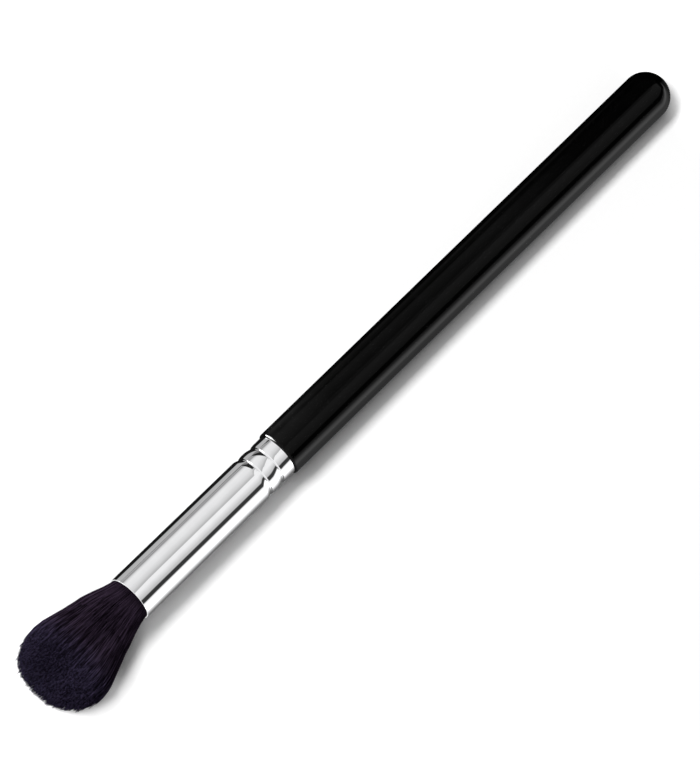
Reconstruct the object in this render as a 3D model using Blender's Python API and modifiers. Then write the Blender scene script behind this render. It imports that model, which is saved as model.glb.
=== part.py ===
"""A round cosmetic brush with a crimped metal ferrule, lying on its side.

Lengths are in metres. Every piece is drawn round its own Z axis: Z is 0 in the plane of the
ferrule's mouth, the hair lies below that plane and the handle above it, and +X is the side that
ends up underneath. One empty then lays the brush down along world X, on the flattened
side of its tuft and on the round end of its handle.
"""
import math
import random

import bmesh
import bpy
from mathutils import Vector

# Clearance between pieces that touch in the real brush
GAP = 0.0003

# Ferrule: a tapered tube with two crimped grooves and an end ring
FERRULE_LENGTH = 0.04235
FERRULE_WALL = 0.00035
MOUTH_RADIUS = 0.0050
WAIST_RADIUS = 0.00487
RING_RADIUS = 0.00478
END_RADIUS = 0.00470
CRIMP_DEPTH = 0.00042
CRIMP_STEP_RUN = 0.00015
CRIMP_SWEEP = math.radians(60)
FIRST_CRIMP_RUN = 0.00150
RING_LENGTH = 0.00132
SECOND_CRIMP_RUN = 0.00195
END_LENGTH = 0.00290

# Handle: a slim round rod with a ball end, and a tenon that fits the ferrule
HANDLE_LENGTH = 0.1126
HANDLE_RADIUS = 0.0051
BUTT_RADIUS = 0.00502
SHOULDER_ROUNDING = 0.00045
TENON_LENGTH = 0.0150
NOSE_LENGTH = 0.0030
NOSE_RADIUS = 0.0034

# Tuft: a bundle of strands that flares from the mouth to a belly and ends in a dome
TUFT_LENGTH = 0.0268
TUFT_RADIUS = 0.00955
BELLY_DEPTH = 0.0176
TUFT_LEAN = 0.0005
TUFT_PRESS = 0.0005
STRAND_RINGS = 10
STRANDS_MORE_PER_RING = 6
STRAND_RADIUS = 0.00030
STRAND_SINK = 0.0010
STRAND_TRIM = 0.00015
STRAND_SEED = 11
TAPER_SHARE = 0.20
JITTER_SHARE = 0.045
DOME_ANGLE = math.radians(75)
ROOT_THICKNESS_SHARE = 0.55
NEAR_TIP_THICKNESS_SHARE = 1.2

# Root of the tuft: packed hair inside the ferrule, drawn in by its tie and dipped in resin
SLICE_DEPTH = 0.0003
ROOT_LENGTH = 0.0110
TIED_RADIUS = 0.0034
TIE_START = 0.0052
TIE_LENGTH = 0.0030
TIE_SLOPE = 0.0008
THREAD_RADIUS = 0.000175
THREAD_TURNS = 5
THREAD_POINTS_PER_TURN = 14

# Resin behind the root, with a rim that grips the root's end
RESIN_RIM_LENGTH = 0.0016
RESIN_LENGTH = 0.0046
RESIN_DISH = 0.0004

# Glue that the tenon's nose pushes ahead of it
COLLAR_LENGTH = 0.0021

# Roundness of the turned pieces, and how the mesh is joined
OUTER_SIDES = 40
INNER_SIDES = 24
BALL_STEPS = 10
EDGE_STEPS = 4
MERGE_DISTANCE = 0.000001
SHARP_ANGLE = math.radians(35)

# Colour, metallic value and roughness of each piece
FINISHES = {
    "handle": ((0.006, 0.006, 0.007), 0.0, 0.08),
    "ferrule": ((0.86, 0.86, 0.87), 1.0, 0.06),
    "hair_tuft": ((0.013, 0.009, 0.018), 0.0, 0.55),
    "binding_thread": ((0.55, 0.52, 0.46), 0.0, 0.80),
    "glue_plug": ((0.46, 0.33, 0.14), 0.0, 0.25),
    "tenon_glue": ((0.72, 0.66, 0.50), 0.0, 0.35),
}


def clear_scene():
    for thing in list(bpy.data.objects):
        bpy.data.objects.remove(thing)


def new_collection(name):
    collection = bpy.data.collections.new(name)
    bpy.context.scene.collection.children.link(collection)
    return collection


def finish(name):
    """The piece's own material."""
    colour, metallic, roughness = FINISHES[name]
    material = bpy.data.materials.new(name)
    material.use_nodes = True
    shader = material.node_tree.nodes["Principled BSDF"]
    shader.inputs["Base Color"].default_value = (*colour, 1)
    shader.inputs["Metallic"].default_value = metallic
    shader.inputs["Roughness"].default_value = roughness
    return material


def turned(name, outline, sides, closed=False):
    """A turned piece from (radius, height) points that run down its outer side."""
    mesh = bpy.data.meshes.new(name)
    points = [(radius, 0, height) for radius, height in outline]
    edges = [(i, i + 1) for i in range(len(points) - 1)]
    if closed:
        edges.append((len(points) - 1, 0))
    mesh.from_pydata(points, edges, [])
    piece = bpy.data.objects.new(name, mesh)
    screw = piece.modifiers.new("turn", "SCREW")
    screw.steps = sides
    screw.render_steps = sides
    screw.use_merge_vertices = True
    screw.merge_threshold = MERGE_DISTANCE
    return piece


def settle(piece):
    """Keeps the piece's evaluated mesh, shaded smooth up to its sharp edges."""
    bpy.context.view_layer.update()
    evaluated = piece.evaluated_get(bpy.context.evaluated_depsgraph_get())
    mesh = bpy.data.meshes.new_from_object(evaluated)
    piece.modifiers.clear()
    piece.data = mesh
    mesh.shade_smooth()
    mesh.set_sharp_from_angle(angle=SHARP_ANGLE)
    mesh.materials.clear()
    mesh.materials.append(finish(piece.name))


def arc(centre, radius, start, end, steps):
    """Points (radius, height) along an arc, at angles measured from the outward direction."""
    across, up = centre
    angles = [start + (end - start) * i / steps for i in range(steps + 1)]
    return [(across + radius * math.cos(a), up + radius * math.sin(a)) for a in angles]


def inset(outline, distance):
    """An outline that runs upwards, moved inwards square to each of its stretches."""
    points = [Vector(point) for point in outline]
    moved = []
    for i, point in enumerate(points):
        before = point - points[i - 1] if i else points[1] - point
        after = points[i + 1] - point if i + 1 < len(points) else before
        normals = [Vector((run.y, -run.x)).normalized() for run in (before, after)]
        mitre = (normals[0] + normals[1]) / (1 + normals[0].dot(normals[1]))
        moved.append(tuple(point - mitre * distance))
    return moved


def first_crimp_start():
    """The height where the straight stretch ends; the crimps are placed from the far end."""
    crimps = FIRST_CRIMP_RUN + RING_LENGTH + SECOND_CRIMP_RUN + 2 * CRIMP_STEP_RUN
    return FERRULE_LENGTH - END_LENGTH - crimps


def ferrule_outside():
    """The ferrule's outer side from its mouth up to its end, as (radius, height) points."""
    start = first_crimp_start()
    rounding = []
    for i in range(EDGE_STEPS + 1):
        turn = CRIMP_SWEEP * i / EDGE_STEPS
        sink = (1 - math.cos(turn)) / (1 - math.cos(CRIMP_SWEEP))
        along = math.sin(turn) / math.sin(CRIMP_SWEEP)
        rounding.append((WAIST_RADIUS - CRIMP_DEPTH * sink, start + FIRST_CRIMP_RUN * along))
    ring_start = start + FIRST_CRIMP_RUN + CRIMP_STEP_RUN
    ring_end = ring_start + RING_LENGTH
    return [
        (MOUTH_RADIUS, FERRULE_WALL / 2),
        *rounding,
        (RING_RADIUS, ring_start),
        (RING_RADIUS, ring_end),
        (RING_RADIUS - CRIMP_DEPTH, ring_end + SECOND_CRIMP_RUN),
        (END_RADIUS, FERRULE_LENGTH - END_LENGTH),
        (END_RADIUS, FERRULE_LENGTH),
    ]


def bore_radius(height):
    """The inner radius of the ferrule's straight stretch."""
    taper = (MOUTH_RADIUS - WAIST_RADIUS) * height / first_crimp_start()
    return MOUTH_RADIUS - taper - FERRULE_WALL


def make_ferrule():
    outside = ferrule_outside()
    inside = inset(outside, FERRULE_WALL)
    lip_middle = (MOUTH_RADIUS - FERRULE_WALL / 2, FERRULE_WALL / 2)
    lip = arc(lip_middle, FERRULE_WALL / 2, 0, -math.pi, EDGE_STEPS)
    outline = [*reversed(outside), *lip[1:-1], *inside]
    return turned("ferrule", outline, OUTER_SIDES, closed=True)


def tenon_outline():
    """The tenon from the shoulder down to its nose: it follows the crimped tube at GAP."""
    front = FERRULE_LENGTH - TENON_LENGTH
    nose_end = front + NOSE_LENGTH
    seat = inset(ferrule_outside(), FERRULE_WALL + GAP)
    bitten = [point for point in seat if nose_end < point[1] < FERRULE_LENGTH]
    return [
        (END_RADIUS - FERRULE_WALL - GAP, FERRULE_LENGTH + GAP),
        *reversed(bitten),
        (bore_radius(nose_end) - GAP, nose_end),
        (NOSE_RADIUS, front),
        (0, front),
    ]


def make_handle():
    end = FERRULE_LENGTH + HANDLE_LENGTH
    ball = arc((0, end - BUTT_RADIUS), BUTT_RADIUS, math.pi / 2, 0, BALL_STEPS)
    shoulder = FERRULE_LENGTH + GAP
    edge_middle = (HANDLE_RADIUS - SHOULDER_ROUNDING, shoulder + SHOULDER_ROUNDING)
    edge = arc(edge_middle, SHOULDER_ROUNDING, 0, -math.pi / 2, EDGE_STEPS)
    outline = [(0, end), *ball[1:], *edge, *tenon_outline()]
    return turned("handle", outline, OUTER_SIDES)


def root_outline():
    """The packed root from its tied end down to the slice that carries the strands."""
    return [
        (0, ROOT_LENGTH),
        (TIED_RADIUS, ROOT_LENGTH),
        (TIED_RADIUS, TIE_START),
        (bore_radius(TIE_START) - GAP, TIE_START - TIE_SLOPE),
        (bore_radius(0) - GAP, SLICE_DEPTH),
        (0, SLICE_DEPTH),
    ]


def lying_pitch():
    """The axis's angle to the table, from the belly's and the ball end's heights above it."""
    span = FERRULE_LENGTH + HANDLE_LENGTH - BUTT_RADIUS + BELLY_DEPTH
    return math.asin((TUFT_RADIUS - TUFT_PRESS - BUTT_RADIUS) / span)


def mouth_height():
    """The height of the middle of the ferrule's mouth above the table."""
    return TUFT_RADIUS - TUFT_PRESS - BELLY_DEPTH * math.sin(lying_pitch())


def lifted(point):
    """The point, moved up where it would lie lower than the strands that rest on the table."""
    pitch = lying_pitch()
    height = mouth_height() - point.z * math.sin(pitch) - point.x * math.cos(pitch)
    short = max(STRAND_RADIUS - STRAND_TRIM - height, 0)
    return Vector((point.x - short / math.cos(pitch), point.y, point.z))


def strand_points(ring, azimuth, chance):
    """A strand's points from its root to its tip, each with its share of STRAND_RADIUS."""
    share = ring / STRAND_RINGS
    dome_length = TUFT_LENGTH - BELLY_DEPTH
    outward = Vector((math.cos(azimuth), -math.sin(azimuth), 0))
    lean = Vector((0, -TUFT_LEAN, 0))
    mouth = outward * share * (bore_radius(0) - GAP - STRAND_RADIUS * ROOT_THICKNESS_SHARE)
    belly = outward * share * (TUFT_RADIUS - STRAND_RADIUS) + lean
    belly.z = -BELLY_DEPTH
    root = mouth + (mouth - belly) * STRAND_SINK / BELLY_DEPTH
    dome = share * DOME_ANGLE
    tip = outward * TUFT_RADIUS * math.sin(dome) + lean
    tip.z = -BELLY_DEPTH - dome_length * (math.cos(dome) - chance * JITTER_SHARE)
    near_tip = tip + (belly - tip).normalized() * dome_length * TAPER_SHARE
    return [
        (root, ROOT_THICKNESS_SHARE),
        (lifted(belly), 1),
        (lifted(near_tip), NEAR_TIP_THICKNESS_SHARE),
        (lifted(tip), 0),
    ]


def add_strand(curve, ring, azimuth, chance):
    spline = curve.splines.new("POLY")
    points = strand_points(ring, azimuth, chance)
    spline.points.add(len(points) - 1)
    for place, (point, thickness) in zip(spline.points, points):
        place.co = (*point, 1)
        place.radius = thickness


def make_strands():
    """All strands in one mesh: rings round a middle one, each ring a half step from the last."""
    curve = bpy.data.curves.new("strands", "CURVE")
    curve.dimensions = "3D"
    curve.bevel_depth = STRAND_RADIUS
    curve.bevel_resolution = 0
    curve.use_fill_caps = True
    dice = random.Random(STRAND_SEED)
    add_strand(curve, 0, 0, 0)
    for ring in range(1, STRAND_RINGS + 1):
        count = ring * STRANDS_MORE_PER_RING
        offset = ring % 2 / 2
        for i in range(count):
            azimuth = 2 * math.pi * (i + offset) / count
            add_strand(curve, ring, azimuth, dice.random())
    guide = bpy.data.objects.new("strands", curve)
    bpy.context.scene.collection.objects.link(guide)
    bpy.context.view_layer.update()
    evaluated = guide.evaluated_get(bpy.context.evaluated_depsgraph_get())
    mesh = bpy.data.meshes.new_from_object(evaluated)
    bpy.data.objects.remove(guide)
    shape = bmesh.new()
    shape.from_mesh(mesh)
    bmesh.ops.remove_doubles(shape, verts=shape.verts, dist=MERGE_DISTANCE)
    shape.to_mesh(mesh)
    shape.free()
    return bpy.data.objects.new("strands", mesh)


def make_table_cutter():
    """A block under the table's plane, longer than the brush."""
    reach = TUFT_LENGTH + FERRULE_LENGTH + HANDLE_LENGTH
    depth = 2 * TUFT_RADIUS
    shape = bmesh.new()
    bmesh.ops.create_cube(shape, size=1)
    bmesh.ops.scale(shape, vec=(2 * reach, reach, depth), verts=shape.verts)
    bmesh.ops.translate(shape, vec=(0, 0, -depth / 2), verts=shape.verts)
    mesh = bpy.data.meshes.new("table_cutter")
    shape.to_mesh(mesh)
    shape.free()
    return bpy.data.objects.new("table_cutter", mesh)


def make_hair_tuft(strands, table):
    tuft = turned("hair_tuft", root_outline(), INNER_SIDES)
    fuse = tuft.modifiers.new("fuse_strands", "BOOLEAN")
    fuse.operation = "UNION"
    fuse.object = strands
    trim = tuft.modifiers.new("trim_at_table", "BOOLEAN")
    trim.operation = "DIFFERENCE"
    trim.object = table
    return tuft


def make_binding_thread():
    """A helix of thread round the root's tied stretch."""
    curve = bpy.data.curves.new("binding_thread", "CURVE")
    curve.dimensions = "3D"
    curve.bevel_depth = THREAD_RADIUS
    curve.bevel_resolution = 1
    curve.use_fill_caps = True
    coil_radius = TIED_RADIUS + GAP + THREAD_RADIUS
    run = TIE_LENGTH - 2 * THREAD_RADIUS
    count = THREAD_TURNS * THREAD_POINTS_PER_TURN
    spline = curve.splines.new("POLY")
    spline.points.add(count)
    for i, place in enumerate(spline.points):
        turn = 2 * math.pi * i / THREAD_POINTS_PER_TURN
        height = TIE_START + THREAD_RADIUS + run * i / count
        place.co = (coil_radius * math.cos(turn), coil_radius * math.sin(turn), height, 1)
    return bpy.data.objects.new("binding_thread", curve)


def make_glue_plug():
    """The resin: a cup whose rim grips the root's end and whose back is slightly dished."""
    rim = ROOT_LENGTH - RESIN_RIM_LENGTH
    back = rim + RESIN_LENGTH
    cup = TIED_RADIUS + GAP
    floor = ROOT_LENGTH + GAP
    outline = [
        (0, back - RESIN_DISH),
        (TIED_RADIUS, back - RESIN_DISH / 2),
        (bore_radius(back) - GAP, back),
        (bore_radius(rim) - GAP, rim),
        (cup, rim),
        (cup, floor),
        (0, floor),
    ]
    return turned("glue_plug", outline, INNER_SIDES)


def make_tenon_glue():
    """A wedge-shaped ring of glue between the tenon's nose and the ferrule."""
    front = FERRULE_LENGTH - TENON_LENGTH
    back = front + COLLAR_LENGTH
    slope = (bore_radius(front + NOSE_LENGTH) - GAP - NOSE_RADIUS) / NOSE_LENGTH
    inner_front = NOSE_RADIUS + GAP
    outline = [
        (bore_radius(back) - GAP, back),
        (bore_radius(front) - GAP, front),
        (inner_front, front),
        (inner_front + slope * COLLAR_LENGTH, back),
    ]
    return turned("tenon_glue", outline, INNER_SIDES, closed=True)


def hide_as_cutter(piece):
    piece.hide_render = True
    piece.display_type = "WIRE"


def centre_on_origin(pieces, carrier):
    """Moves the carrier so that the middle of the pieces' bounding box is above the origin."""
    bpy.context.view_layer.update()
    points = [piece.matrix_world @ v.co for piece in pieces for v in piece.data.vertices]
    for axis in (0, 1):
        places = [point[axis] for point in points]
        carrier.location[axis] -= (min(places) + max(places)) / 2


def main():
    clear_scene()
    brush = new_collection("blending_brush")
    cutters = new_collection("cutters")

    carrier = bpy.data.objects.new("lying_brush", None)
    carrier.rotation_euler = (0, math.pi / 2 + lying_pitch(), 0)
    carrier.location = (0, 0, mouth_height())
    brush.objects.link(carrier)

    strands = make_strands()
    strands.parent = carrier
    table = make_table_cutter()
    for piece in (strands, table):
        cutters.objects.link(piece)
        hide_as_cutter(piece)

    thread = make_binding_thread()
    solids = [
        make_handle(),
        make_ferrule(),
        make_hair_tuft(strands, table),
        make_glue_plug(),
        make_tenon_glue(),
    ]
    for piece in (thread, *solids):
        brush.objects.link(piece)
        piece.parent = carrier
    for piece in solids:
        settle(piece)
    thread.data.materials.append(finish(thread.name))
    centre_on_origin(solids, carrier)


main()
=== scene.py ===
"""Looks of the round cosmetic brush: its camera and studio, the metal, the lacquer and the hair.

Lengths are in metres and angles in radians. The pieces are drawn in the brush's own frame, in
which Z is 0 in the plane of the ferrule's mouth and runs up the handle, and +X is the side that
lies underneath. brush_frame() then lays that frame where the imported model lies.
"""

import math

import bmesh
import bpy
import numpy as np
from mathutils import Matrix, Vector


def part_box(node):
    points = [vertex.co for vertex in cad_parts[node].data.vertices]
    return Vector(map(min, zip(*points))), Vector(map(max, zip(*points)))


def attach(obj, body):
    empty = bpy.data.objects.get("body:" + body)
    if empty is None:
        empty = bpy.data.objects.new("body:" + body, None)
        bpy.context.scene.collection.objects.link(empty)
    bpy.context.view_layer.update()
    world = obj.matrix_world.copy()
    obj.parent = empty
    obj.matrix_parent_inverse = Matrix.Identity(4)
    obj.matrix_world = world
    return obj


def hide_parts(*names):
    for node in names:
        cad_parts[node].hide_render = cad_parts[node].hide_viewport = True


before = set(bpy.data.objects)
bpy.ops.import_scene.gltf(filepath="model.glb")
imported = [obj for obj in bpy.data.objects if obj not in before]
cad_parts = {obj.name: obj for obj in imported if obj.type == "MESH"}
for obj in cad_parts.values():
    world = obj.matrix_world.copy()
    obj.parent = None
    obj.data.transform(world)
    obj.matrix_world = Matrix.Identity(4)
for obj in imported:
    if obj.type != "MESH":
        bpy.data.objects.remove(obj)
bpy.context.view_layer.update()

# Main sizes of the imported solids
GAP = 0.0003
FERRULE_LENGTH = 0.04235
FERRULE_WALL = 0.00035
MOUTH_RADIUS = 0.0050
WAIST_RADIUS = 0.00487
RING_RADIUS = 0.00478
END_RADIUS = 0.00470
CRIMP_DEPTH = 0.00042
CRIMP_STEP_RUN = 0.00015
FIRST_CRIMP_RUN = 0.00150
RING_LENGTH = 0.00132
SECOND_CRIMP_RUN = 0.00195
END_LENGTH = 0.00290
HANDLE_LENGTH = 0.1126
HANDLE_RADIUS = 0.0051
BUTT_RADIUS = 0.00502
SHOULDER_ROUNDING = 0.00045
TUFT_LENGTH = 0.0268
TUFT_RADIUS = 0.00955
TUFT_PRESS = 0.0005
BELLY_DEPTH = 0.0176
DOME_LENGTH = TUFT_LENGTH - BELLY_DEPTH


def brush_frame():
    """The matrix of the brush's own frame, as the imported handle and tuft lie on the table."""
    span = FERRULE_LENGTH + HANDLE_LENGTH - BUTT_RADIUS + BELLY_DEPTH
    pitch = math.asin((TUFT_RADIUS - TUFT_PRESS - BUTT_RADIUS) / span)
    low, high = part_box("handle")
    ball_distance = FERRULE_LENGTH + HANDLE_LENGTH - BUTT_RADIUS
    mouth = Vector((
        high[0] - BUTT_RADIUS - ball_distance * math.cos(pitch),
        (low[1] + high[1]) / 2,
        TUFT_RADIUS - TUFT_PRESS - BELLY_DEPTH * math.sin(pitch),
    ))
    return Matrix.Translation(mouth) @ Matrix.Rotation(math.pi / 2 + pitch, 4, "Y")


BRUSH = brush_frame()


def on_axis(height):
    """The point of the brush's axis this far up from the ferrule's mouth, where the brush lies."""
    return BRUSH @ Vector((0, 0, height))


MOUTH = on_axis(0)
JOINT = on_axis(FERRULE_LENGTH)


# Small tools


class Nodes:
    """Builds a node tree in short steps: a call adds what it needs and gives back its output."""

    def __init__(self, tree):
        self.tree = tree

    def node(self, kind, inputs=(), **settings):
        node = self.tree.nodes.new(kind)
        for name, value in settings.items():
            setattr(node, name, value)
        self.feed(node, inputs)
        return node

    def feed(self, node, inputs):
        """Links each input to the socket given for it, or sets it to the value."""
        for key, value in dict(inputs).items():
            if isinstance(value, bpy.types.NodeSocket):
                self.tree.links.new(value, node.inputs[key])
            else:
                node.inputs[key].default_value = value

    def math(self, operation, *values):
        return self.node("ShaderNodeMath", enumerate(values), operation=operation).outputs[0]

    def distance(self, x, y):
        """The distance of the point (x, y) from the origin."""
        squares = self.math("ADD", self.math("POWER", x, 2.0), self.math("POWER", y, 2.0))
        return self.math("SQRT", squares)

    def between(self, value, start, end, low=0.0, high=1.0):
        """The value's place from start to end, eased, as a number from low to high."""
        places = {
            "Value": value,
            "From Min": start,
            "From Max": end,
            "To Min": low,
            "To Max": high,
        }
        node = self.node("ShaderNodeMapRange", places, interpolation_type="SMOOTHSTEP")
        return node.outputs[0]

    def lerp(self, share, first, second):
        """A number between two others: the first at share 0 and the second at share 1."""
        inputs = {0: share, 2: first, 3: second}
        return self.node("ShaderNodeMix", inputs, data_type="FLOAT").outputs[0]

    def ramp(self, value, stops):
        """A colour ramp from (place, colour or grey) stops."""
        node = self.node("ShaderNodeValToRGB", {"Fac": value})
        elements = node.color_ramp.elements
        for _ in range(len(stops) - len(elements)):
            elements.new(1)
        for element, (place, colour) in zip(elements, stops):
            grey = not isinstance(colour, tuple)
            element.position = place
            element.color = (colour, colour, colour, 1) if grey else (*colour, 1)
        return node.outputs["Color"]

    def level(self, place, stops):
        """A level from (place, level) stops, whose places run from 0 to 1."""
        shown = self.ramp(place, [(start, level / BRIGHTEST) for start, level in stops])
        red = self.node("ShaderNodeSeparateColor", {0: shown}).outputs[0]
        return self.math("MULTIPLY", red, BRIGHTEST)

    def place(self, space="Object"):
        return self.node("ShaderNodeTexCoord").outputs[space]

    def xyz(self, vector):
        return self.node("ShaderNodeSeparateXYZ", {0: vector}).outputs

    def noise(self, where, scale, detail=2.0, roughness=0.5):
        inputs = {"Vector": where, "Scale": scale, "Detail": detail, "Roughness": roughness}
        return self.node("ShaderNodeTexNoise", inputs).outputs["Fac"]

    def bump(self, height, distance, strength):
        inputs = {"Height": height, "Distance": distance, "Strength": strength}
        return self.node("ShaderNodeBump", inputs).outputs[0]


def emptied(owner):
    """The builder of a material's or world's node tree, from which everything is cleared."""
    owner.use_nodes = True
    owner.node_tree.nodes.clear()
    return Nodes(owner.node_tree)


def add_object(name, data):
    added = bpy.data.objects.new(name, data)
    bpy.context.scene.collection.objects.link(added)
    return added


def standing(origin, *axes):
    """The matrix of a frame at an origin, from its X, Y and Z axes."""
    return Matrix.Translation(origin) @ Matrix(axes).transposed().to_4x4()


# Studio: what the mirror of the metal sees round the brush


# Levels that the straight tube mirrors to the camera, by the place across it as a share of its
# radius: the two soft boxes over the brush, which meet in a seam, and what lies beside them.
# MIRROR_X is the x part of each direction that it mirrors.
MIRROR_X = 0.291
SEAM_SHARE = 0.034
SEAM_SKEW = math.radians(22)
SEAM_BLUR = 0.02
FAR_BOX = [
    (0.705, 0.44),
    (0.676, 0.42),
    (0.658, 0.34),
    (0.647, 0.29),
    (0.632, 0.36),
    (0.600, 0.64),
    (0.565, 0.82),
    (0.500, 0.93),
    (0.330, 0.88),
    (0.160, 0.71),
    (0.080, 0.55),
    (0.034, 0.50),
]
NEAR_BOX = [
    (0.034, 0.98),
    (-0.080, 0.98),
    (-0.200, 0.80),
    (-0.300, 0.64),
    (-0.352, 0.60),
    (-0.385, 0.04),
    (-0.518, 0.04),
    (-0.545, 0.95),
    (-0.590, 1.10),
    (-0.630, 2.40),
    (-0.670, 3.60),
    (-0.705, 3.90),
]
BRIGHTEST = 4.0
BOX_SPAN = math.radians(100)

# The rest of the studio. Fades, rise and fall are in the x, y and z parts of a direction.
WEDGE_RISE = 0.65
WEDGE_FALL = 0.177
WEDGE_FADE = (0.012, 0.036)
WEDGE_SIDE_FADE = (0.38, 0.46)
WEDGE_LEVEL = 0.02
BUTT_END_FADE = (0.90, 0.96)
BUTT_END_LEVEL = 0.03
HAIR_END_FADE = (-0.15, -0.45)
HAIR_END_LEVEL = 1.05
AMBIENT_LEVEL = 0.125
GLINT_LEVEL = 2.2
GLINT_AZIMUTH = math.radians(124)
GLINT_SPREAD = (math.radians(8.8), math.radians(7.2))
GLINT_TOP = (0.40, 0.38)


def band_angle(share, skew):
    """The angle round the skewed long axis that the tube mirrors at a share of its radius."""
    turn = 2 * math.asin(share)
    flat = math.sqrt(1 - MIRROR_X ** 2)
    side = flat * math.sin(turn) * math.cos(skew) - MIRROR_X * math.sin(skew)
    return math.atan2(side, flat * math.cos(turn))


def box_levels(n, angle, bands, skew):
    """The level of a row of bands at an angle, between minus and plus BOX_SPAN."""
    place = n.math("ADD", n.math("DIVIDE", angle, 2 * BOX_SPAN), 0.5)
    stops = [
        (0.5 + band_angle(share, skew) / (2 * BOX_SPAN), level)
        for share, level in bands
    ]
    return n.level(place, sorted(stops))


def soft_boxes(n, x, y, z):
    """The near box, straight along the brush, and the skewed far box beyond the seam."""
    turned_y = n.math(
        "SUBTRACT",
        n.math("MULTIPLY", y, math.cos(SEAM_SKEW)),
        n.math("MULTIPLY", x, math.sin(SEAM_SKEW)),
    )
    skewed = n.math("ARCTAN2", turned_y, z)
    straight = n.math("ARCTAN2", y, z)
    far = box_levels(n, skewed, FAR_BOX, SEAM_SKEW)
    near = box_levels(n, straight, NEAR_BOX, 0)
    seam = band_angle(SEAM_SHARE, SEAM_SKEW)
    return n.lerp(n.between(skewed, seam - SEAM_BLUR, seam + SEAM_BLUR), near, far)


def dark_wedge(n, x, y, z):
    """1 low on the far side towards the butt, under a slanting plane, and 0 elsewhere."""
    rise = n.math("MULTIPLY", x, WEDGE_RISE)
    fall = n.math("MULTIPLY", y, WEDGE_FALL)
    under = n.math("SUBTRACT", n.math("SUBTRACT", rise, fall), z)
    return n.math("MULTIPLY", n.between(under, *WEDGE_FADE), n.between(y, *WEDGE_SIDE_FADE))


def glint_strip(n, x, y):
    """1 in the upright slice of the slim strip that gives small bright glints, and 0 elsewhere."""
    azimuth = n.math("ARCTAN2", y, x)
    off = n.math("ABSOLUTE", n.math("SUBTRACT", azimuth, GLINT_AZIMUTH))
    return n.between(off, *GLINT_SPREAD)


def mirrored_studio(n):
    """What mirrors see over the table: the boxes with a dark wedge in the far one, darkness past
    the butt, white past the hair, and a slim bright strip."""
    x, y, z = n.xyz(n.place("Generated"))
    level = n.lerp(dark_wedge(n, x, y, z), soft_boxes(n, x, y, z), WEDGE_LEVEL)
    level = n.lerp(n.between(x, *BUTT_END_FADE), level, BUTT_END_LEVEL)
    level = n.lerp(n.between(x, *HAIR_END_FADE), level, HAIR_END_LEVEL)
    strip = n.math("MULTIPLY", glint_strip(n, x, y), n.between(z, *GLINT_TOP))
    return n.math("ADD", level, n.math("MULTIPLY", strip, GLINT_LEVEL))


def straight_view(n, path):
    """1 for a ray from the camera or through something clear, and 0 for any other."""
    return n.math("MAXIMUM", path["Is Camera Ray"], path["Is Transmission Ray"])


def make_world():
    """White to the camera, a soft grey to matt surfaces, and the studio to mirrors."""
    world = bpy.data.worlds.new("studio")
    bpy.context.scene.world = world
    n = emptied(world)
    path = n.node("ShaderNodeLightPath").outputs
    seen = n.lerp(path["Is Glossy Ray"], AMBIENT_LEVEL, mirrored_studio(n))
    seen = n.lerp(straight_view(n, path), seen, 1.0)
    background = n.node("ShaderNodeBackground", {"Color": seen, "Strength": 1.0})
    n.node("ShaderNodeOutputWorld", {"Surface": background.outputs[0]})


# Painted light on the table, seen straight by the camera: an even glow, patches of painted light
# that lift the shadow past the hair end, past the butt and round the tuft, and the white backdrop
# further out. Each has how strong it is, and the x or the distance where it fades in. Round the
# tuft it follows a circle, which is drawn out towards the handle.
TABLE_GLOW = 0.03
HAIR_END_GLOW = 0.18
HAIR_END_GLOW_FADE = (-0.0715, -0.0775)
BUTT_END_GLOW = 0.30
BUTT_END_GLOW_FADE = (0.0865, 0.0925)
ROUND_TUFT_GLOW = 0.45
ROUND_TUFT_DEPTH = 0.0131
HANDLE_SIDE_SHARE = 0.32
ROUND_TUFT_FADE = (0.0103, 0.0125)
ROUND_TUFT_END_FADE = (-0.0610, -0.0680)
BACKDROP_FADE = (0.085, 0.22)

# Painted light and shade that the table shows to mirrors alone, by the distance to the +Y or the
# -Y side of the brush's middle: dark close to the brush and brighter further out
FAR_TABLE = [
    (0.0140, 0.010),
    (0.0214, 0.010),
    (0.0234, 0.500),
    (0.1300, 0.500),
    (0.1800, 0.440),
]
NEAR_TABLE = [
    (0.0070, 0.12),
    (0.0085, 0.15),
    (0.0125, 0.26),
    (0.0170, 0.56),
    (0.0230, 0.88),
    (0.0330, 1.25),
    (0.0520, 2.20),
    (0.0720, 3.00),
    (0.1200, 3.80),
]
TABLE_REACH = 0.2
TABLE_SIZE = 6.0

# How those levels change along the brush: the near ones are squeezed together towards the butt,
# and the far ones drop past a slanting line, to the handle's share, and again to the butt's.
# The last two fades are distances in x from the ferrule's mouth.
MIDDLE_BLUR = 0.001
NEAR_SQUEEZE = 1.35
NEAR_SQUEEZE_FADE = (0.0, 0.09)
HANDLE_SLANT = 0.334
HANDLE_FADE = (-0.017, -0.012)
HANDLE_SHARE = 0.45
BUTT_FADE = (0.055, 0.110)
BUTT_SHARE = 0.05
MOUTH_FADE = (0.0003, 0.00015)
STRIP_FADE = (-0.001, -0.003)

PAPER_SCALE = 900.0
PAPER_GREYS = [(0.0, 0.94), (1.0, 0.96)]


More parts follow.
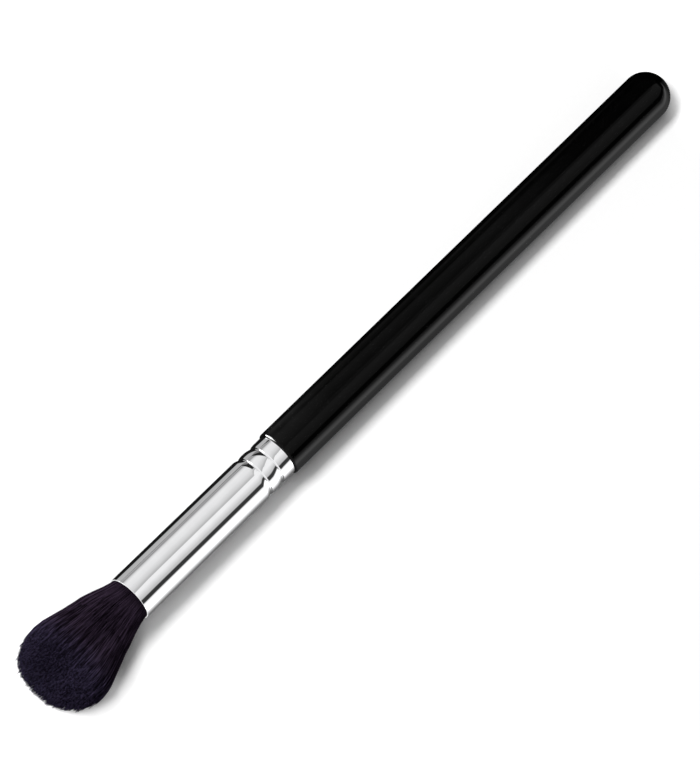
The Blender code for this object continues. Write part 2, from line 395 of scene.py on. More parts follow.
def table_glow(n, x, y):
    """The table's own level to the camera: on an even glow, painted light that takes the edge off
    the shadow of the tuft and of the brush's two ends, and turns the paper into a white backdrop
    further out."""
    # Painted light: patches that lift the shadow past the hair end, past the butt and round the
    # tuft
    ends = n.math(
        "ADD",
        n.between(x, *HAIR_END_GLOW_FADE, TABLE_GLOW, TABLE_GLOW + HAIR_END_GLOW),
        n.between(x, *BUTT_END_GLOW_FADE, 0.0, BUTT_END_GLOW),
    )
    off = n.math("SUBTRACT", x, on_axis(-ROUND_TUFT_DEPTH).x)
    tip_side = n.math("MINIMUM", off, 0.0)
    handle_side = n.math("MULTIPLY", n.math("MAXIMUM", off, 0.0), HANDLE_SIDE_SHARE)
    round_tuft = n.math("ADD", n.distance(tip_side, y), handle_side)
    tuft = n.between(round_tuft, *ROUND_TUFT_FADE, 0.0, ROUND_TUFT_GLOW)
    tuft = n.math("MULTIPLY", tuft, n.between(x, *ROUND_TUFT_END_FADE))
    backdrop = n.between(n.distance(x, y), *BACKDROP_FADE)
    return n.math("ADD", n.math("ADD", ends, tuft), backdrop)


def table_levels(n, distance, stops):
    """The level at a distance from the brush's middle, from (distance, level) stops."""
    scaled = [(place / TABLE_REACH, level) for place, level in stops]
    return n.level(n.math("DIVIDE", distance, TABLE_REACH), scaled)


def mirrored_table(n, x, y):
    """Painted light and shade on the table that only mirrors see: as listed beside the ferrule,
    darker on the far side of the handle, white past the ferrule's mouth, and with the foot of the
    slim bright strip past the mouth."""
    squeeze = n.between(x, *NEAR_SQUEEZE_FADE, -1.0, -NEAR_SQUEEZE)
    near = table_levels(n, n.math("MULTIPLY", y, squeeze), NEAR_TABLE)
    far = table_levels(n, y, FAR_TABLE)
    slanted = n.math("SUBTRACT", x, n.math("MULTIPLY", y, HANDLE_SLANT))
    far = n.math("MULTIPLY", far, n.between(slanted, *HANDLE_FADE, 1.0, HANDLE_SHARE))
    far = n.math("MULTIPLY", far, n.between(x, *BUTT_FADE, 1.0, BUTT_SHARE))
    level = n.lerp(n.between(y, -MIDDLE_BLUR, MIDDLE_BLUR), near, far)
    level = n.lerp(n.between(x, *(MOUTH.x + off for off in MOUTH_FADE)), level, 1.0)
    from_joint = (n.math("SUBTRACT", x, JOINT.x), n.math("SUBTRACT", y, JOINT.y))
    past_mouth = n.between(x, *(MOUTH.x + off for off in STRIP_FADE))
    strip = n.math("MULTIPLY", glint_strip(n, *from_joint), past_mouth)
    return n.math("ADD", level, n.math("MULTIPLY", strip, GLINT_LEVEL))


def table_material():
    """White paper that takes the shadow and glows a little, with painted light that lifts the
    shadow in places, and painted light and shade that only mirrors see.
    """
    material = bpy.data.materials.new("white_table")
    n = emptied(material)
    place = n.place()
    x, y, _ = n.xyz(place)
    path = n.node("ShaderNodeLightPath").outputs
    white = n.ramp(n.noise(place, PAPER_SCALE), PAPER_GREYS)
    matt = n.node("ShaderNodeBsdfDiffuse", {"Color": white}).outputs[0]
    glow = n.math("MULTIPLY", straight_view(n, path), table_glow(n, x, y))
    glow = n.node("ShaderNodeEmission", {"Strength": glow}).outputs[0]
    lit = n.node("ShaderNodeAddShader", {0: matt, 1: glow}).outputs[0]
    # Painted light and shade on the table, which only mirrors see
    level = mirrored_table(n, x, y)
    mirrored = n.node("ShaderNodeEmission", {"Color": level, "Strength": 1.0}).outputs[0]
    both = n.node("ShaderNodeMixShader", {0: path["Is Glossy Ray"], 1: lit, 2: mirrored})
    n.node("ShaderNodeOutputMaterial", {"Surface": both.outputs[0]})
    material.cycles.emission_sampling = "NONE"
    return material


def make_table():
    mesh = bpy.data.meshes.new("table")
    half = TABLE_SIZE / 2
    corners = [(-half, -half, 0), (half, -half, 0), (half, half, 0), (-half, half, 0)]
    mesh.from_pydata(corners, [], [(0, 1, 2, 3)])
    mesh.materials.append(table_material())
    table = add_object("table", mesh)


# A black flag round the far side of the handle, an arc of sheet that only mirrors see: the
# lacquer mirrors it, and so darkens towards its butt. Before it hangs a half clear veil with a
# darker line. Angles run from straight up to the far side, and fades along the brush's axis.
FLAG_RADIUS = 0.015
FLAG_ARC = (math.radians(11), math.radians(77))
FLAG_EDGE = math.radians(5)
FLAG_FADE = (0.088, 0.140)
FLAG_END = 0.30
FLAG_STEPS = 24
FLAG_DARKNESS = 0.92
VEIL_FADE = (0.050, 0.062)
VEIL_ARC = (math.radians(55), math.radians(15))
VEIL_DARKNESS = (0.33, 0.52)
VEIL_LINE = math.radians(67)
VEIL_LINE_WIDTH = math.radians(10)
VEIL_LINE_DARKNESS = 0.80


def flag_material():
    """Black where the flag is and half clear in the veil before it, which has one darker line."""
    material = bpy.data.materials.new("flag")
    n = emptied(material)
    x, y, z = n.xyz(n.place())
    angle = n.math("ARCTAN2", y, n.math("MULTIPLY", x, -1))
    off_line = n.math("ABSOLUTE", n.math("SUBTRACT", angle, VEIL_LINE))
    line = n.between(off_line, VEIL_LINE_WIDTH, 0.0, 0.0, VEIL_LINE_DARKNESS)
    veil = n.math("MAXIMUM", line, n.between(angle, *VEIL_ARC, *VEIL_DARKNESS))
    veil = n.math("MULTIPLY", veil, n.between(z, *VEIL_FADE))
    share = n.math("MAXIMUM", veil, n.between(z, *FLAG_FADE, 0.0, FLAG_DARKNESS))
    edge = n.between(angle, FLAG_ARC[0], FLAG_ARC[0] + FLAG_EDGE)
    share = n.math("MULTIPLY", share, edge)
    clear = n.node("ShaderNodeBsdfTransparent").outputs[0]
    black = n.node("ShaderNodeEmission", {"Strength": 0.0}).outputs[0]
    both = n.node("ShaderNodeMixShader", {0: share, 1: clear, 2: black})
    n.node("ShaderNodeOutputMaterial", {"Surface": both.outputs[0]})
    return material


def make_flag():
    """The flag and its veil as one arc of sheet, drawn in the brush's own frame."""
    start, end = FLAG_ARC
    angles = [start + (end - start) * i / FLAG_STEPS for i in range(FLAG_STEPS + 1)]
    vertices = [
        (-FLAG_RADIUS * math.cos(a), FLAG_RADIUS * math.sin(a), height)
        for a in angles
        for height in (VEIL_FADE[0], FLAG_END)
    ]
    faces = [(2 * i, 2 * i + 1, 2 * i + 3, 2 * i + 2) for i in range(FLAG_STEPS)]
    mesh = bpy.data.meshes.new("flag")
    mesh.from_pydata(vertices, [], faces)
    mesh.materials.append(flag_material())
    flag = add_object("flag", mesh)
    flag.matrix_world = BRUSH
    flag.visible_camera = False
    flag.visible_diffuse = False
    flag.visible_transmission = False
    flag.visible_shadow = False


# Lamps over the brush's +Y side and a little over its hair: (name, tilt towards +Y, tilt towards
# -X, angle that they fill across, angle that they fill along the brush, share of the light)
LAMPS = [
    ("key", math.radians(22), math.radians(20), math.radians(11), math.radians(20), 0.78),
    ("fill", math.radians(9.5), math.radians(18), math.radians(17), math.radians(24), 0.22),
]
LAMP_DISTANCE = 2.4
LAMP_LEVEL = 0.97


def area_lamp(name, size, energy, matrix):
    """A rectangle of light, of a width and a height, which the camera doesn't see."""
    light = bpy.data.lights.new(name, "AREA")
    light.shape = "RECTANGLE"
    light.size, light.size_y = size
    light.energy = energy
    lamp = add_object(name, light)
    lamp.matrix_world = matrix
    lamp.visible_camera = False
    return lamp


def make_lamp(name, side_tilt, end_tilt, width, length, share):
    """A soft box whose light alone gives a flat matt surface its share of LAMP_LEVEL."""
    toward = Vector((-math.tan(end_tilt), math.tan(side_tilt), 1)).normalized()
    size = (
        2 * LAMP_DISTANCE * math.tan(length / 2),
        2 * LAMP_DISTANCE * math.tan(width / 2),
    )
    energy = LAMP_LEVEL * share * (math.pi * LAMP_DISTANCE) ** 2 / toward.z
    across = toward.cross(Vector((1, 0, 0))).normalized()
    along = across.cross(toward)
    matrix = standing(toward * LAMP_DISTANCE, along, across, toward)
    lamp = area_lamp(name, size, energy, matrix)
    lamp.visible_glossy = False


# A small card of light beside the joint, which only the handle's lacquer mirrors, in its shoulder
CARD_LEVEL = 100.0
CARD_AZIMUTH = math.radians(118)
CARD_DISTANCE = 0.022
CARD_WIDTH = 0.022
CARD_HEIGHT = 0.018


def make_card(handle):
    """The card of light: it stands on the table, faces the joint and lights the handle alone."""
    out = Vector((math.cos(CARD_AZIMUTH), math.sin(CARD_AZIMUTH), 0))
    up = Vector((0, 0, 1))
    middle = Vector((JOINT.x, JOINT.y, CARD_HEIGHT / 2)) + out * CARD_DISTANCE
    energy = CARD_LEVEL * math.pi * CARD_WIDTH * CARD_HEIGHT
    matrix = standing(middle, up.cross(out), up, out)
    card = area_lamp("card", (CARD_WIDTH, CARD_HEIGHT), energy, matrix)
    lit = bpy.data.collections.new("lit_by_card")
    lit.objects.link(handle)
    card.light_linking.receiver_collection = lit


# Camera: far off, above the brush and a little towards its hair
CAMERA_DISTANCE = 2.0
CAMERA_TILT = math.radians(18.3)
CAMERA_ROLL = math.radians(44.23)
CAMERA_LENS = 466.5
CAMERA_CLIP = (0.05, 50.0)
SENSOR_WIDTH = 36.0
AIM_HEIGHT = 0.06217
AIM_SIDE = -0.0011


def make_camera():
    """Looks at the brush from above its hair, turned so that the brush runs up to the right."""
    along = (BRUSH.to_3x3() @ Vector((0, 0, 1))).normalized()
    side = Vector((0, 1, 0))
    square = along.cross(side)
    back = square * math.cos(CAMERA_TILT) - along * math.sin(CAMERA_TILT)
    across = side.cross(back)
    right = across * math.cos(CAMERA_ROLL) - side * math.sin(CAMERA_ROLL)
    up = across * math.sin(CAMERA_ROLL) + side * math.cos(CAMERA_ROLL)
    aim = on_axis(AIM_HEIGHT) + side * AIM_SIDE
    data = bpy.data.cameras.new("camera")
    data.lens = CAMERA_LENS
    data.sensor_width = SENSOR_WIDTH
    data.clip_start, data.clip_end = CAMERA_CLIP
    camera = add_object("camera", data)
    camera.matrix_world = standing(aim + back * CAMERA_DISTANCE, right, up, back)
    bpy.context.scene.camera = camera


# Materials of the pieces


# Noise scales are per metre, and the stops of a ramp are (noise, colour, grey or roughness).
POLISH_SCALE = 260.0
CHROME_COLOURS = [(0.3, (0.86, 0.86, 0.87)), (0.7, (0.90, 0.90, 0.91))]
CHROME_ROUGHNESS = [(0.3, 0.030), (0.7, 0.045)]
CHROME_BUMP = (0.00001, 0.10)
COAT_SCALE = 320.0
LACQUER_GREYS = [(0.3, 0.0001), (0.7, 0.0004)]
LACQUER_ROUGHNESS = [(0.3, 0.05), (0.7, 0.07)]
LACQUER_BUMP = (0.00001, 0.08)
LACQUER_SPECULAR = 0.10
PLAIN_BUMP = (0.00005, 0.3)

# The hair's streaks fan out from a point FLARE_APEX behind the mouth; their lighter tones are
# partly painted sheen in place of the hair's highlights. At the mouth the hair has mostly one
# tone, and streaks, stipple and the hue of the tips each come in between two depths.
FLARE_APEX = 0.0155
STREAK_SCALE = 85.0
STREAK_STRETCH = 3.0
STREAK_FADE = (0.0020, 0.0080)
STREAK_LEAST = 0.60
ROOT_TONE = 0.54
# The stipple on the dome is partly painted light on the hair tips and painted shade in the gaps
# between them.
STIPPLE_SCALE = 2600.0
STIPPLE_CONTRAST = (0.05, 0.95)
STIPPLE_FADE = (BELLY_DEPTH * 0.90, BELLY_DEPTH * 1.30)
STIPPLE_SHARE = 0.80
OWN_SHARE = 0.22
TONES = (0.42, 0.62)
HUE_FADE = (BELLY_DEPTH * 0.70, BELLY_DEPTH * 1.15)
HUES = [(0.0, (1.05, 0.90, 0.95)), (1.0, (1.08, 1.12, 1.34))]
HAIR_ROUGHNESS = 0.6


def new_material(name):
    """A new material, the builder of its node tree, and its shader."""
    material = bpy.data.materials.new(name)
    material.use_nodes = True
    tree = material.node_tree
    return material, Nodes(tree), tree.nodes["Principled BSDF"]


def chrome_material():
    """Plated tube: a bright mirror with soft polish marks."""
    material, n, shader = new_material("chrome")
    polish = n.noise(n.place(), POLISH_SCALE, detail=3.0)
    n.feed(shader, {
        "Base Color": n.ramp(polish, CHROME_COLOURS),
        "Roughness": n.ramp(polish, CHROME_ROUGHNESS),
        "Metallic": 1.0,
        "Normal": n.bump(polish, *CHROME_BUMP),
    })
    return material


def lacquer_material():
    """Gloss black lacquer, with the faint unevenness of a sprayed coat."""
    material, n, shader = new_material("black_lacquer")
    coat = n.noise(n.place(), COAT_SCALE)
    n.feed(shader, {
        "Base Color": n.ramp(coat, LACQUER_GREYS),
        "Roughness": n.ramp(coat, LACQUER_ROUGHNESS),
        "IOR": 1.5,
        "Specular IOR Level": LACQUER_SPECULAR,
        "Normal": n.bump(coat, *LACQUER_BUMP),
    })
    return material


def hair_material(name, dark, light):
    """Dyed hair: streaks along the locks, partly painted sheen, stipple on the dome, partly
    painted light on the tips and shade between them, each hair's own shade, and bluer, paler tips.
    """
    material, n, shader = new_material(name)
    own = n.node("ShaderNodeNewGeometry").outputs["Random Per Island"]
    place = n.place()
    x, y, z = n.xyz(place)

    def along(start, end, low=0.0, high=1.0):
        return n.between(x, MOUTH.x - start, MOUTH.x - end, low, high)

    run = n.math("SUBTRACT", MOUTH.x + FLARE_APEX, x)
    fanned = n.node("ShaderNodeCombineXYZ", {
        0: n.math("DIVIDE", n.math("SUBTRACT", y, MOUTH.y), run),
        1: n.math("DIVIDE", n.math("SUBTRACT", z, MOUTH.z), run),
        2: n.math("MULTIPLY", x, STREAK_STRETCH),
    })
    # Partly painted: the streaks' lighter tones stand in for the hair's sheen, and the stipple for
    # lit tips and the shade between them
    streak = n.noise(fanned.outputs[0], STREAK_SCALE, roughness=0.6)
    stipple = n.between(n.noise(place, STIPPLE_SCALE, detail=1.0), *STIPPLE_CONTRAST)
    grain = n.lerp(along(*STIPPLE_FADE, 0.0, STIPPLE_SHARE), streak, stipple)
    tone = n.lerp(OWN_SHARE, grain, own)
    tone = n.lerp(along(*STREAK_FADE, STREAK_LEAST), ROOT_TONE, tone)
    shade = n.ramp(tone, list(zip(TONES, (dark, light))))
    hue = n.ramp(along(*HUE_FADE), HUES)
    inputs = {0: 1.0, 6: shade, 7: hue}
    tinted = n.node("ShaderNodeMix", inputs, data_type="RGBA", blend_type="MULTIPLY")
    n.feed(shader, {
        "Base Color": tinted.outputs[2],
        "Roughness": HAIR_ROUGHNESS,
        "Specular IOR Level": 0.0,
    })
    return material


def plain_material(name, dark, light, scale, roughness):
    """A material of one grain between two colours, for a node that the ferrule hides."""
    material, n, shader = new_material(name)
    grain = n.noise(n.place(), scale, detail=3.0)
    n.feed(shader, {
        "Base Color": n.ramp(grain, [(0.3, dark), (0.7, light)]),
        "Roughness": roughness,
        "Normal": n.bump(grain, *PLAIN_BUMP),
    })
    return material


# Turned pieces


SHARP_ANGLE = math.radians(50)
SIDES = 192

# A rolled groove falls to its bottom, steps up steeply and ends in a shoulder. Slopes are the
# radius gained per height. A shoulder's pair is how far under its radius it starts, and its slope.
TAPER_STEPS = 8
FALL_SLOPE = -0.36
STEP_SLOPES = (0.2, 1.6)
SHOULDER_RUN = 0.00120
RING_SHOULDER = (0.00012, 0.30)
END_SHOULDER = (0.00010, 0.28)
CORNER = 0.00012

# Under the end ring the bore is narrow over CRIMPED_BORE, and then widens in a short cone. The
# handle's shoulder stands JOINT_GAP off the tube.
CRIMPED_BORE = 0.006
BORE_CONE_RUN = 0.001
BORE_TAPER = 0.0001
JOINT_GAP = 0.00004
NECK_LENGTH = 0.004


def hermite(x, run, start, end):
    """The value at the share x of a run, on the curve between two ends' values and slopes."""
    (v0, m0), (v1, m1) = start, end
    return (
        (1 + 2 * x) * (1 - x) ** 2 * v0
        + x * (1 - x) ** 2 * run * m0
        + x * x * (3 - 2 * x) * v1
        + x * x * (x - 1) * run * m1
    )


def eased(start, end, steps):
    """Points of a (radius, height, slope) to (radius, height, slope) curve, its start left out."""
    (r0, h0, m0), (r1, h1, m1) = start, end
    run = h1 - h0
    shares = [i / steps for i in range(1, steps + 1)]
    return [(hermite(x, run, (r0, m0), (r1, m1)), h0 + run * x) for x in shares]


def arc(centre, radius, start, end, steps):
    """Points of an arc round a (radius, height) centre, from one angle to another."""
    across, up = centre
    angles = [start + (end - start) * i / steps for i in range(steps + 1)]
    return [(across + radius * math.cos(a), up + radius * math.sin(a)) for a in angles]


def place_piece(name, mesh):
    """A piece from a mesh in the brush's frame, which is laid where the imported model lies."""
    mesh.transform(BRUSH)
    return add_object(name, mesh)


def turned(name, outline, sides, closed=False):
    """A turned piece from (radius, height) points, in the brush's frame."""
    turns = [2 * math.pi * i / sides for i in range(sides)]
    vertices = []
    rings = []
    for radius, height in outline:
        if radius == 0:
            rings.append([len(vertices)] * sides)
            vertices.append((0, 0, height))
        else:
            rings.append(list(range(len(vertices), len(vertices) + sides)))
            vertices += [(radius * math.cos(a), radius * math.sin(a), height) for a in turns]
    pairs = list(zip(rings, rings[1:]))
    if closed:
        pairs.append((rings[-1], rings[0]))
    faces = []
    for lower, upper in pairs:
        for i in range(sides):
            j = (i + 1) % sides
            corners = dict.fromkeys((lower[i], lower[j], upper[j], upper[i]))
            faces.append(tuple(corners))
    mesh = bpy.data.meshes.new(name)
    mesh.from_pydata(vertices, [], faces)
    shape = bmesh.new()
    shape.from_mesh(mesh)
    bmesh.ops.recalc_face_normals(shape, faces=shape.faces)
    shape.to_mesh(mesh)
    shape.free()
    mesh.shade_smooth()
    mesh.set_sharp_from_angle(angle=SHARP_ANGLE)
    return place_piece(name, mesh)


def rolled_groove(start, bottom_height, after, shoulder, fall_steps):
    """A groove from its (radius, height, slope) start to a shoulder that ends in a new radius."""
    bottom = start[0] - CRIMP_DEPTH
    foot_slope, top_slope = STEP_SLOPES
    shoulder_drop, shoulder_slope = shoulder
    low = after - shoulder_drop
    top = bottom_height + CRIMP_STEP_RUN
    points = eased(start, (bottom, bottom_height, FALL_SLOPE), fall_steps)
    points += eased((bottom, bottom_height, foot_slope), (low, top, top_slope), 8)
    points += eased((low, top, shoulder_slope), (after, top + SHOULDER_RUN, 0.0), 12)
    return points


def ferrule_outside():
    """The tube's outer side from its mouth: a long taper, two rolled grooves and an end ring."""
    crimps = FIRST_CRIMP_RUN + RING_LENGTH + SECOND_CRIMP_RUN + 2 * CRIMP_STEP_RUN
    first = FERRULE_LENGTH - END_LENGTH - crimps
    taper = (WAIST_RADIUS - MOUTH_RADIUS) / first
    first_bottom = first + FIRST_CRIMP_RUN
    ring = first_bottom + CRIMP_STEP_RUN
    second_bottom = ring + RING_LENGTH + SECOND_CRIMP_RUN
    heights = [first * i / TAPER_STEPS for i in range(1, TAPER_STEPS + 1)]
    points = [(MOUTH_RADIUS, FERRULE_WALL / 2)]
    points += [(MOUTH_RADIUS + taper * height, height) for height in heights]
    waist_end = (WAIST_RADIUS, first, taper)
    points += rolled_groove(waist_end, first_bottom, RING_RADIUS, RING_SHOULDER, 16)
    ring_top = (RING_RADIUS, ring + SHOULDER_RUN, 0.0)
    points += rolled_groove(ring_top, second_bottom, END_RADIUS, END_SHOULDER, 20)
    points.append((END_RADIUS, FERRULE_LENGTH - CORNER))
    points += arc((END_RADIUS - CORNER, FERRULE_LENGTH - CORNER), CORNER, 0, math.pi / 2, 5)[1:]
    return points


def make_ferrule():
    """The plated tube: its outer side, its bore, and a rolled lip at its mouth."""
    half_wall = FERRULE_WALL / 2
    lip = arc((MOUTH_RADIUS - half_wall, half_wall), half_wall, -math.pi, 0, 12)
    crimped = END_RADIUS - FERRULE_WALL - CRIMP_DEPTH
    end_ring = FERRULE_LENGTH - END_LENGTH
    inside = [
        (END_RADIUS - FERRULE_WALL, FERRULE_LENGTH),
        (crimped, end_ring),
        (crimped, end_ring - CRIMPED_BORE),
        (MOUTH_RADIUS - FERRULE_WALL - BORE_TAPER, end_ring - CRIMPED_BORE - BORE_CONE_RUN),
    ]
    outline = [*lip[:-1], *ferrule_outside(), *inside]
    ferrule = turned("ferrule_tube", outline, SIDES, closed=True)
    ferrule.data.materials.append(chrome_material())
    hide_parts("ferrule")
    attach(ferrule, "root")


def make_handle():
    """The lacquered rod from its shoulder to its ball end, with a short neck inside the tube."""
    end = FERRULE_LENGTH + HANDLE_LENGTH
    shoulder = FERRULE_LENGTH + JOINT_GAP
    neck = END_RADIUS - FERRULE_WALL - CRIMP_DEPTH - GAP
    middle = (HANDLE_RADIUS - SHOULDER_ROUNDING, shoulder + SHOULDER_ROUNDING)
    outline = [(0, shoulder - NECK_LENGTH), (neck, shoulder - NECK_LENGTH), (neck, shoulder)]
    outline += arc(middle, SHOULDER_ROUNDING, -math.pi / 2, 0, 12)
    outline += arc((0, end - BUTT_RADIUS), BUTT_RADIUS, 0, math.pi / 2, 48)[:-1]
    outline.append((0, end))
    handle = turned("handle_rod", outline, SIDES)
    handle.data.materials.append(lacquer_material())
    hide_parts("handle")
    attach(handle, "root")
    return handle


# Hair


# The tuft's radius, and the way that its middle leans to the side, by the depth from the mouth
FLARE = [
    (0.0000, 0.00460),
    (0.0004, 0.00494),
    (0.0016, 0.00510),
    (0.0045, 0.00602),
    (0.0062, 0.00662),
    (0.0095, 0.00744),
    (0.0128, 0.00844),
    (0.0153, 0.00922),
    (BELLY_DEPTH, 0.00957),
]
LEAN = [
    (0.0000, 0.00000),
    (0.0040, 0.00013),
    (0.0080, -0.00002),
    (0.0110, -0.00026),
    (0.0145, -0.00048),
    (0.0205, -0.00050),
    (0.0245, -0.00015),
    (TUFT_LENGTH, 0.00045),
]
DOME_POWER = 2.3
DOME_EDGE_SHARE = 0.985
GOLDEN_TURN = math.pi * (3 - math.sqrt(5))

# Hairs: how many, the depth of their roots, their seeds and the darkest and lightest of their dye,
# whose spread is partly painted sheen and painted light and shade on the tips
HAIR_SIDES = 3
HAIR_RADIUS = 0.000062
INNER_HAIR_RADIUS = 0.000085
HAIR_THICKNESS = [(0, 0.8), (0.15, 1), (0.75, 1), (0.92, 0.75), (1, 0.2)]
OUTER_HAIRS = 3300
OUTER_START = 0.86
OUTER_ROOT = -0.0006
OUTER_SEED = 3
OUTER_DYE_AND_SHEEN = ((0.0066, 0.0048, 0.0082), (0.0500, 0.0385, 0.0640))
INNER_HAIRS = 6200
INNER_ROOT = 0.0085
INNER_SEED = 4
INNER_DYE_AND_SHEEN = ((0.0056, 0.0044, 0.0075), (0.0460, 0.0370, 0.0620))
STRAY_LOCKS = 520
STRAY_HAIRS = 6
STRAY_START = 0.45
STRAY_ROOT = 0.0090
STRAY_SEED = 8
STRAY_SPREAD = 0.014
STRAY_LENGTH = 0.0009
STRAY_LIFT = 0.00055
LIFT_POWER = 6

# Locks, and what makes one hair unlike the next
LOCKS = 1500
LOCK_SEED = 5
LOCK_PULL = 0.62
LOCK_UNEVENNESS = 0.00042
LOCK_POINT_LENGTH = 0.020
LOCK_POINT_WIDTH = 0.04
GATHER_START = 0.55
TIP_GATHER_POWER = 6
LEAST_LIMIT = 0.2
AZIMUTH_UNEVENNESS = 0.02
TIP_UNEVENNESS = 0.00014
RADIUS_UNEVENNESS = 0.00005
PATH_SEED_STEP = 100
STEP_POWER = 0.9
WAVE_RUN = 4
WAVE_PHASES = 6
WAVE_TURN = 0.008
WAVE_AT_ROOT = 0.2

# The plain core inside the hair
CORE_SHARE = 0.86
CORE_ROOT = 0.002
CORE_SHORT = 0.003
CORE_FLARE_STEPS = 24
CORE_DOME_STEPS = 16
CORE_SIDES = 64


def curve_through(stops, where):
    """Values at the given places of a smooth curve through (place, value) stops."""
    places, values = np.array(stops).T
    slopes = np.gradient(values, places)
    where = np.clip(where, places[0], places[-1])
    index = np.clip(np.searchsorted(places, where) - 1, 0, len(places) - 2)
    run = places[index + 1] - places[index]
    start = (values[index], slopes[index])
    end = (values[index + 1], slopes[index + 1])
    return hermite((where - places[index]) / run, run, start, end)


def dome(share):
    """The dome's outline: its share of full reach one way at a share of full reach the other."""
    return (1 - share ** DOME_POWER) ** (1 / DOME_POWER)


def sunflower(count, inner=0.0):
    """Evenly spread places in a unit ring from the inner radius share: shares and azimuths."""
    index = np.arange(count) + 0.5
    return np.sqrt(inner ** 2 + (1 - inner ** 2) * index / count), index * GOLDEN_TURN


def locks(across, up):
    """Each hair's lock: its middle across and up in the unit disc, and its odd length."""
    share, azimuth = sunflower(LOCKS)
    middle_across = share * np.cos(azimuth)
    middle_up = share * np.sin(azimuth)
    apart = (across[:, None] - middle_across) ** 2 + (up[:, None] - middle_up) ** 2
    index = apart.argmin(axis=1)
    longer = np.random.default_rng(LOCK_SEED).normal(0, LOCK_UNEVENNESS, LOCKS)
    return middle_across[index], middle_up[index], longer[index]


def bundle(count, inner, seed):
    """Hairs that fill the tuft from an inner radius share: their places in the unit disc, their
    locks' middles and odd lengths, and a lift of 0."""
    dice = np.random.default_rng(seed)
    share, azimuth = sunflower(count, inner)
    azimuth = azimuth + dice.normal(0, AZIMUTH_UNEVENNESS, count)
    across = share * np.cos(azimuth)
    up = share * np.sin(azimuth)
    return (across, up, *locks(across, up), np.zeros(count))


def strays(seed):
    """Small locks through the tuft that end in points a little past its dome, as bundle() gives
    its hairs but with a lift off the tuft."""
    dice = np.random.default_rng(seed)
    share = np.sqrt(dice.uniform(STRAY_START ** 2, 1, STRAY_LOCKS))
    azimuth = dice.uniform(0, 2 * math.pi, STRAY_LOCKS)
    longer = dice.uniform(0, STRAY_LENGTH, STRAY_LOCKS)
    lift = dice.uniform(0, STRAY_LIFT, STRAY_LOCKS) * share ** LIFT_POWER
    middles = np.stack([share * np.cos(azimuth), share * np.sin(azimuth), longer, lift])
    across, up, longer, lift = np.repeat(middles, STRAY_HAIRS, axis=1)
    own_across, own_up = dice.normal(0, STRAY_SPREAD, (2, len(across)))
    return across + own_across, up + own_up, across, up, longer, lift


def tip_depths(hairs, dice):
    """How deep each hair ends: on the dome, changed by its lock's odd length, and earlier the
    further it stands from its lock's middle."""
    across, up, lock_across, lock_up, longer, _ = hairs
    off_middle = np.hypot(across - lock_across, up - lock_up)
    end_share = np.minimum(np.hypot(lock_across, lock_up), DOME_EDGE_SHARE)
    depths = BELLY_DEPTH + DOME_LENGTH * dome(end_share)
    depths = depths + longer - np.minimum(off_middle, LOCK_POINT_WIDTH) * LOCK_POINT_LENGTH
    return depths - np.abs(dice.normal(0, TIP_UNEVENNESS, len(across)))


def hair_paths(hairs, steps, start_depth, seed, kept_in):
    """Paths of hairs from root to tip as hairs x steps points, their thickness and their turn.

    Towards their tips the hairs of a lock draw together and end in a point.
    """
    across, up, lock_across, lock_up, _, lift = (values[:, None] for values in hairs)
    count = len(across)
    dice = np.random.default_rng(seed + PATH_SEED_STEP)
    tip_depth = tip_depths(hairs, dice)[:, None]
    u = np.linspace(0, 1, steps) ** STEP_POWER
    depth = start_depth + (tip_depth - start_depth) * u
    gather_depth = BELLY_DEPTH * GATHER_START
    grow = np.clip((depth - gather_depth) / (TUFT_LENGTH - gather_depth), 0, 1)
    pull = LOCK_PULL * np.maximum(grow, u ** TIP_GATHER_POWER)
    place_across = across * (1 - pull) + lock_across * pull
    place_up = up * (1 - pull) + lock_up * pull
    reach = np.hypot(place_across, place_up)
    if kept_in:
        past_belly = np.clip((depth - BELLY_DEPTH) / DOME_LENGTH, 0, 1)
        reach = np.minimum(reach, np.maximum(dome(past_belly), LEAST_LIMIT))
    radius = (curve_through(FLARE, depth) - HAIR_RADIUS) * reach
    radius = radius + dice.normal(0, RADIUS_UNEVENNESS, (count, 1)) * grow + lift * grow
    swing = dice.normal(0, 1, (count, 1))
    swing = swing * np.sin(u * WAVE_RUN + dice.uniform(0, WAVE_PHASES, (count, 1)))
    turn = np.arctan2(place_up, place_across) + swing * WAVE_TURN * (WAVE_AT_ROOT + grow)
    x = radius * np.cos(turn)
    y = -radius * np.sin(turn) + curve_through(LEAN, depth)
    points = np.stack([x, y, -depth], axis=-1)
    thickness = np.interp(u, *np.array(HAIR_THICKNESS).T)
    return points, np.broadcast_to(thickness, (count, steps)), turn


def pressed(points, hair_radius):
    """The points, moved up where a hair round them would reach under the table."""
    matrix = np.array(BRUSH)
    height = points @ matrix[2, :3] + matrix[2, 3]
    short = np.maximum(hair_radius - height, 0)
    up = matrix[2, :3]
    return points + short[..., None] * up


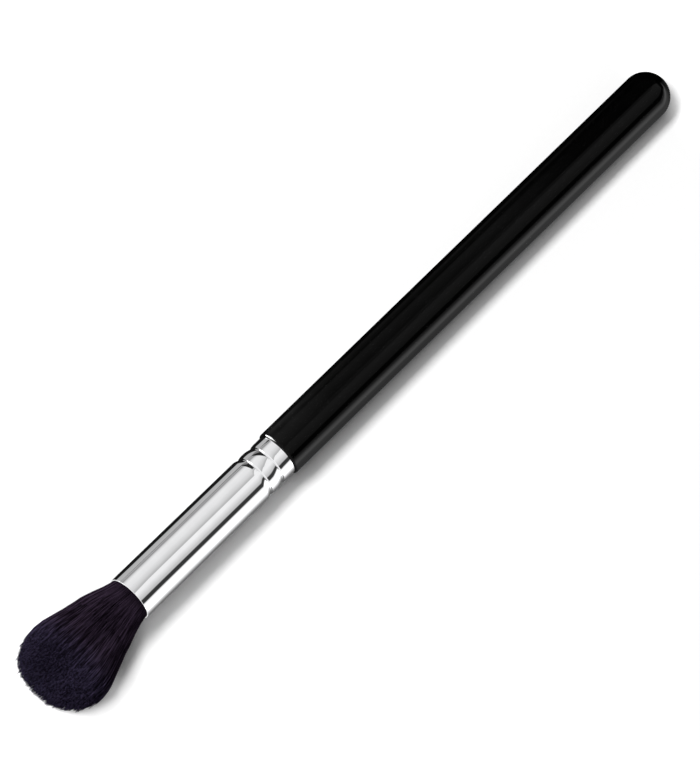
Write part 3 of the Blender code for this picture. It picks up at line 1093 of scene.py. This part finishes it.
def hair_mesh(name, points, thickness, turn, hair_radius):
    """One mesh of many thin three-sided hairs, each closed at its root and at its slim tip."""
    count, steps, _ = points.shape
    outward = np.stack([np.cos(turn), -np.sin(turn), 0 * turn], axis=-1)
    sideways = np.stack([np.sin(turn), np.cos(turn), 0 * turn], axis=-1)
    corners = 2 * math.pi * np.arange(HAIR_SIDES) / HAIR_SIDES
    rings = (
        points[:, :, None, :]
        + (hair_radius * thickness)[:, :, None, None]
        * (
            outward[:, :, None, :] * np.cos(corners)[None, None, :, None]
            + sideways[:, :, None, :] * np.sin(corners)[None, None, :, None]
        )
    )
    per_hair = steps * HAIR_SIDES
    vertices = rings.reshape(-1, 3)
    ring = np.arange(steps - 1)[:, None] * HAIR_SIDES
    side = np.arange(HAIR_SIDES)[None, :]
    following = (side + 1) % HAIR_SIDES
    quads = np.stack(
        [ring + side, ring + following, ring + HAIR_SIDES + following, ring + HAIR_SIDES + side],
        axis=-1,
    ).reshape(-1, 4)
    hairs = np.arange(count)[:, None, None] * per_hair
    quads = (quads[None] + hairs).reshape(-1, 4)
    ends = np.array([[2, 1, 0], [per_hair - 3, per_hair - 2, per_hair - 1]])
    ends = (ends[None] + hairs).reshape(-1, 3)
    mesh = bpy.data.meshes.new(name)
    mesh.vertices.add(len(vertices))
    mesh.vertices.foreach_set("co", vertices.ravel())
    loops = np.concatenate([quads.ravel(), ends.ravel()])
    mesh.loops.add(len(loops))
    mesh.loops.foreach_set("vertex_index", loops.astype(np.int32))
    starts = np.concatenate([
        np.arange(len(quads)) * 4,
        len(quads) * 4 + np.arange(len(ends)) * 3,
    ])
    mesh.polygons.add(len(starts))
    mesh.polygons.foreach_set("loop_start", starts.astype(np.int32))
    mesh.update(calc_edges=True)
    mesh.validate()
    mesh.shade_smooth()
    return mesh


def stand_for_tuft(piece, material):
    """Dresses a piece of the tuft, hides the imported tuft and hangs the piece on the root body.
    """
    piece.data.materials.append(material)
    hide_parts("hair_tuft")
    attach(piece, "root")


def make_hairs(name, material, hairs, steps, start_depth, hair_radius, seed, kept_in=True):
    """One piece of the tuft from hairs, whose reach the dome's outline limits if kept_in."""
    points, thickness, turn = hair_paths(hairs, steps, start_depth, seed, kept_in)
    mesh = hair_mesh(name, pressed(points, hair_radius), thickness, turn, hair_radius)
    stand_for_tuft(place_piece(name, mesh), material)


def make_core(material):
    """The plain core that stops the light inside the hair."""
    core = [(0, CORE_ROOT), (MOUTH_RADIUS * CORE_SHARE, CORE_ROOT)]
    for i in range(CORE_FLARE_STEPS + 1):
        depth = BELLY_DEPTH * i / CORE_FLARE_STEPS
        core.append((float(curve_through(FLARE, depth)) * CORE_SHARE, -depth))
    radius = TUFT_RADIUS * CORE_SHARE
    length = DOME_LENGTH - CORE_SHORT
    for i in range(1, CORE_DOME_STEPS):
        a = math.pi / 2 * i / CORE_DOME_STEPS
        core.append((radius * math.cos(a), -BELLY_DEPTH - length * math.sin(a)))
    core.append((0, -BELLY_DEPTH - length))
    stand_for_tuft(turned("hair_core", core, CORE_SIDES), material)


def make_hair():
    """The outer coat, the inner fill, the loose locks and the core."""
    outer = hair_material("dyed_hair", *OUTER_DYE_AND_SHEEN)
    inner = hair_material("dyed_hair_inside", *INNER_DYE_AND_SHEEN)
    coat = bundle(OUTER_HAIRS, OUTER_START, OUTER_SEED)
    make_hairs("hair_outer", outer, coat, 10, OUTER_ROOT, HAIR_RADIUS, OUTER_SEED)
    fill = bundle(INNER_HAIRS, 0, INNER_SEED)
    make_hairs("hair_inner", inner, fill, 6, INNER_ROOT, INNER_HAIR_RADIUS, INNER_SEED)
    loose = strays(STRAY_SEED)
    make_hairs("hair_strays", outer, loose, 10, STRAY_ROOT, HAIR_RADIUS, STRAY_SEED, kept_in=False)
    make_core(inner)


# Nodes that the ferrule hides: material, its darkest and lightest colour, grain and roughness
HIDDEN_LOOKS = {
    "binding_thread": ("thread", (0.44, 0.41, 0.35), (0.58, 0.55, 0.49), 3000.0, 0.8),
    "glue_plug": ("resin", (0.38, 0.26, 0.10), (0.52, 0.38, 0.17), 500.0, 0.25),
    "tenon_glue": ("wood_glue", (0.62, 0.56, 0.42), (0.76, 0.70, 0.55), 600.0, 0.35),
}


def dress_hidden_nodes():
    """The thread, the resin and the glue keep their CAD shapes and get materials."""
    for name, look in HIDDEN_LOOKS.items():
        material = plain_material(*look)
        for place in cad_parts[name].material_slots:
            place.material = material


bpy.context.scene.view_settings.view_transform = "Standard"
make_world()
make_table()
make_flag()
for lamp in LAMPS:
    make_lamp(*lamp)
make_camera()
make_ferrule()
make_card(make_handle())
make_hair()
dress_hidden_nodes()
